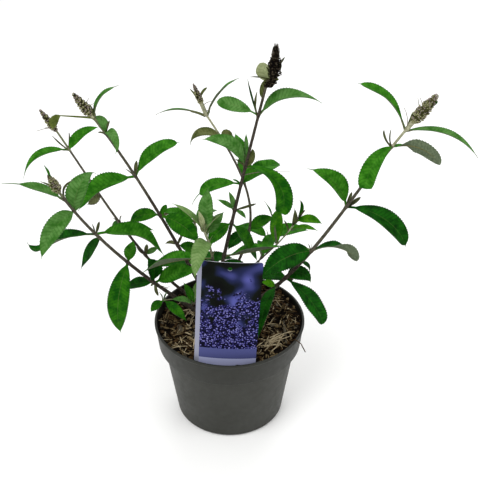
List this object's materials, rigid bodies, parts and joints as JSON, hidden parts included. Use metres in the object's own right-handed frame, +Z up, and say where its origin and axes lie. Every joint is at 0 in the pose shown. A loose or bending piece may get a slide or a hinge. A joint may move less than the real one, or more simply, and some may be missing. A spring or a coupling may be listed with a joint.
{
  "type": "potted butterfly bush",
  "caption": "Young flowering shrub with arching leafy stems and flower spikes in bud, growing in a round nursery pot of bark with a plant label.",
  "frame": {"origin": "centre of the pot's flat underside, on the surface that the pot stands on", "axes": "+Z up, +X to the right and -Y to the front, where the plant label stands"},
  "size_m": [0.4699, 0.2063, 0.4491],
  "materials": {
    "pot_plastic": "moulded recycled plastic, matt taupe grey",
    "potting_bark": "shredded bark and fibre, damp and rough",
    "label_card": "printed plastic card, satin",
    "bark": "young brown-grey bark, matt with fine ridges",
    "foliage": "soft leaves, matt green with felted undersides"
  },
  "bodies": {
    "root": {"pot": "pot_plastic", "soil": "potting_bark", "label": "label_card", "main_stem": "bark", "bough_low_left": "bark", "bough_far_left": "bark", "bough_mid_left": "bark", "bough_tall_back": "bark", "bough_tall_centre": "bark", "bough_right": "bark", "bough_right_back": "bark", "bough_young_front": "bark", "bough_low_front": "bark", "bough_back_left": "bark", "bough_back_right": "bark", "foliage_low_left": "foliage", "foliage_far_left": "foliage", "foliage_mid_left": "foliage", "foliage_tall_back": "foliage", "foliage_tall_centre": "foliage", "foliage_right": "foliage", "foliage_right_back": "foliage", "foliage_young_front": "foliage", "foliage_low_front": "foliage", "foliage_back_left": "foliage", "foliage_back_right": "foliage"}
  },
  "joints": []
}
